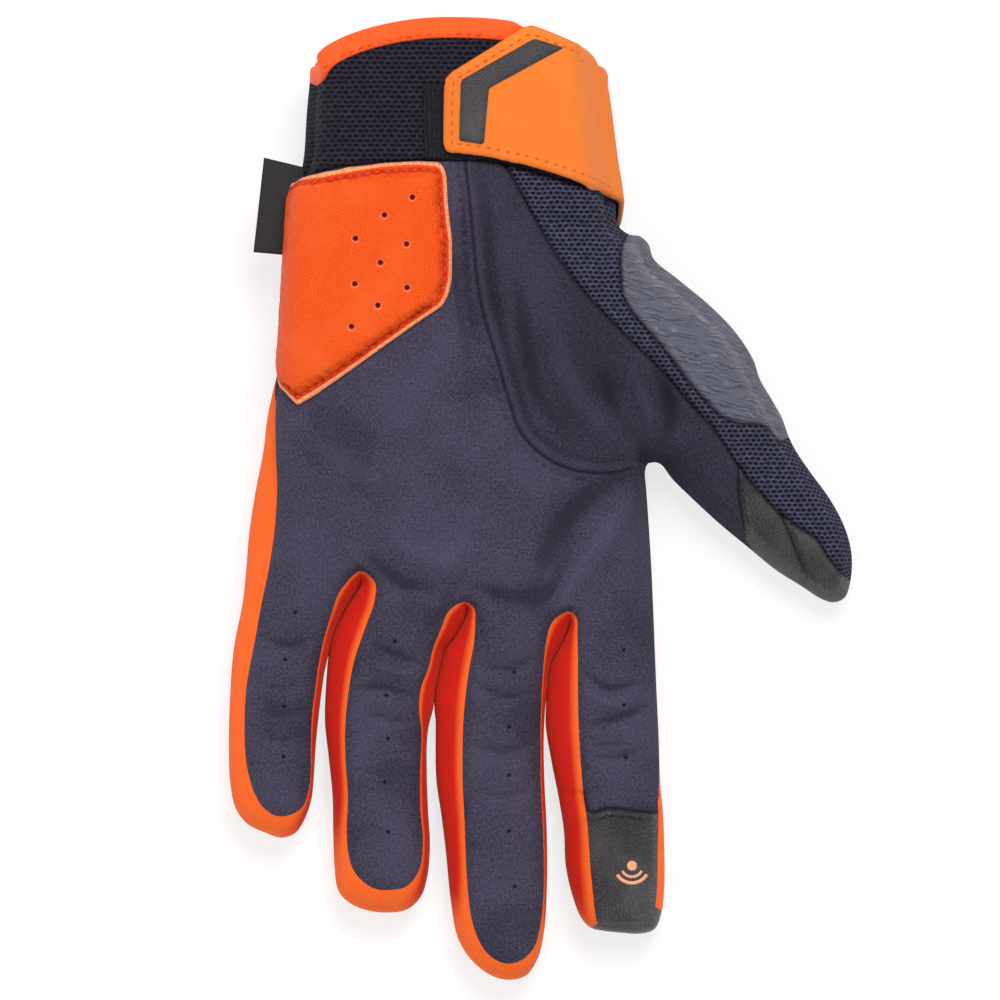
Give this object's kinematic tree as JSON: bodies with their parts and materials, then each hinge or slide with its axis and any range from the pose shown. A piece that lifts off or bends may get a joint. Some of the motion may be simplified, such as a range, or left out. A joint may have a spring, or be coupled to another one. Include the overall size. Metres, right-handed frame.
{
  "type": "work glove",
  "caption": "Left work glove with suede palm, padded perforated heel patch, mesh cuff, hook-and-loop wrist strap and hinged stretch-fabric digits.",
  "frame": {"origin": "middle of the glove's bounding box, on the surface that its back lies on", "axes": "+Z out of the palm, +Y from the fingertips to the cuff, +X towards the thumb"},
  "size_m": [0.1567, 0.2394, 0.042],
  "materials": {
    "suede": "napped synthetic suede",
    "stretch": "knitted stretch fabric",
    "cuff_mesh": "open knitted mesh",
    "tip_leather": "fine-grained, matt",
    "guard_leather": "grained and creased",
    "heel_leather": "fine-grained, perforated",
    "strap_leather": "fine-grained",
    "strap_print": "grained transfer print",
    "binding": "knitted tape",
    "loop": "looped pile",
    "hook": "moulded hooks",
    "label": "woven tape",
    "foam": "closed-cell foam"
  },
  "bodies": {
    "palm": {"back_panel": "stretch", "cuff_back_mesh": "cuff_mesh", "cuff_binding": "binding", "cuff_palm_mesh": "cuff_mesh", "heel_foam": "foam", "heel_patch": "heel_leather", "label_tag": "label", "loop_pad": "loop", "outer_side_panel": "stretch", "palm_panel": "suede", "strap_base": "strap_leather", "thumb_guard": "guard_leather", "thumb_mesh": "cuff_mesh", "thumb_panel": "suede"},
    "index_base": {"index_back_base": "stretch", "index_front_base": "suede", "index_inner_side_base": "stretch", "index_outer_side_base": "stretch"},
    "index_tip": {"index_back_tip": "stretch", "index_front_tip": "suede", "index_inner_side_tip": "stretch", "index_outer_side_tip": "stretch", "index_tip_patch": "tip_leather"},
    "middle_base": {"middle_back_base": "stretch", "middle_front_base": "suede", "middle_inner_side_base": "stretch", "middle_outer_side_base": "stretch"},
    "middle_tip": {"middle_back_tip": "stretch", "middle_front_tip": "suede", "middle_inner_side_tip": "stretch", "middle_outer_side_tip": "stretch"},
    "ring_base": {"ring_back_base": "stretch", "ring_front_base": "suede", "ring_inner_side_base": "stretch", "ring_outer_side_base": "stretch"},
    "ring_tip": {"ring_back_tip": "stretch", "ring_front_tip": "suede", "ring_inner_side_tip": "stretch", "ring_outer_side_tip": "stretch"},
    "pinky_base": {"pinky_back_base": "stretch", "pinky_front_base": "suede", "pinky_inner_side_base": "stretch", "pinky_outer_side_base": "stretch"},
    "pinky_tip": {"pinky_back_tip": "stretch", "pinky_front_tip": "suede", "pinky_inner_side_tip": "stretch", "pinky_outer_side_tip": "stretch"},
    "thumb_base": {"thumb_back_mesh_base": "cuff_mesh", "thumb_front_base": "suede", "thumb_guard_base": "guard_leather", "thumb_outer_mesh_base": "cuff_mesh"},
    "thumb_tip": {"thumb_back_mesh_tip": "cuff_mesh", "thumb_front_tip": "suede", "thumb_tip_cap": "tip_leather", "thumb_tip_patch": "tip_leather", "thumb_outer_mesh_tip": "cuff_mesh"},
    "strap": {"strap_tab": "strap_leather", "strap_print": "strap_print", "hook_patch": "hook"}
  },
  "joints": [
    {"name": "index_knuckle", "type": "hinge", "parent": "palm", "child": "index_base", "pos_m": [0.01556, -0.02634, 0.0227], "axis": [-1, -0.0084, 0], "range_deg": [0, 70]},
    {"name": "index_middle_knuckle", "type": "hinge", "parent": "index_base", "child": "index_tip", "pos_m": [0.01744, -0.05776, 0.0206], "axis": [-1, -0.0084, 0], "range_deg": [0, 75]},
    {"name": "middle_knuckle", "type": "hinge", "parent": "palm", "child": "middle_base", "pos_m": [-0.00791, -0.02267, 0.0227], "axis": [-1, 0.0031, 0], "range_deg": [0, 70]},
    {"name": "middle_middle_knuckle", "type": "hinge", "parent": "middle_base", "child": "middle_tip", "pos_m": [-0.00869, -0.0624, 0.0206], "axis": [-1, 0.0031, 0], "range_deg": [0, 75]},
    {"name": "ring_knuckle", "type": "hinge", "parent": "palm", "child": "ring_base", "pos_m": [-0.03304, -0.01884, 0.0227], "axis": [-0.9999, 0.0144, 0], "range_deg": [0, 70]},
    {"name": "ring_middle_knuckle", "type": "hinge", "parent": "ring_base", "child": "ring_tip", "pos_m": [-0.03603, -0.05387, 0.0206], "axis": [-0.9999, 0.0144, 0], "range_deg": [0, 75]},
    {"name": "pinky_knuckle", "type": "hinge", "parent": "palm", "child": "pinky_base", "pos_m": [-0.06184, -0.01358, 0.0227], "axis": [-0.9998, 0.0196, 0], "range_deg": [0, 70]},
    {"name": "pinky_middle_knuckle", "type": "hinge", "parent": "pinky_base", "child": "pinky_tip", "pos_m": [-0.06588, -0.04605, 0.0206], "axis": [-0.9998, 0.0196, 0], "range_deg": [0, 75]},
    {"name": "thumb_knuckle", "type": "hinge", "parent": "palm", "child": "thumb_base", "pos_m": [0.04027, 0.01822, 0.02765], "axis": [-0.742, -0.6704, 0], "range_deg": [0, 45]},
    {"name": "thumb_middle_knuckle", "type": "hinge", "parent": "thumb_base", "child": "thumb_tip", "pos_m": [0.05435, 0.00264, 0.02365], "axis": [-0.742, -0.6704, 0], "range_deg": [0, 60]},
    {"name": "strap_hinge", "type": "hinge", "parent": "palm", "child": "strap", "pos_m": [0.00084, 0.09929, 0.0418], "axis": [0, 1, 0], "range_deg": [0, 150]}
  ]
}
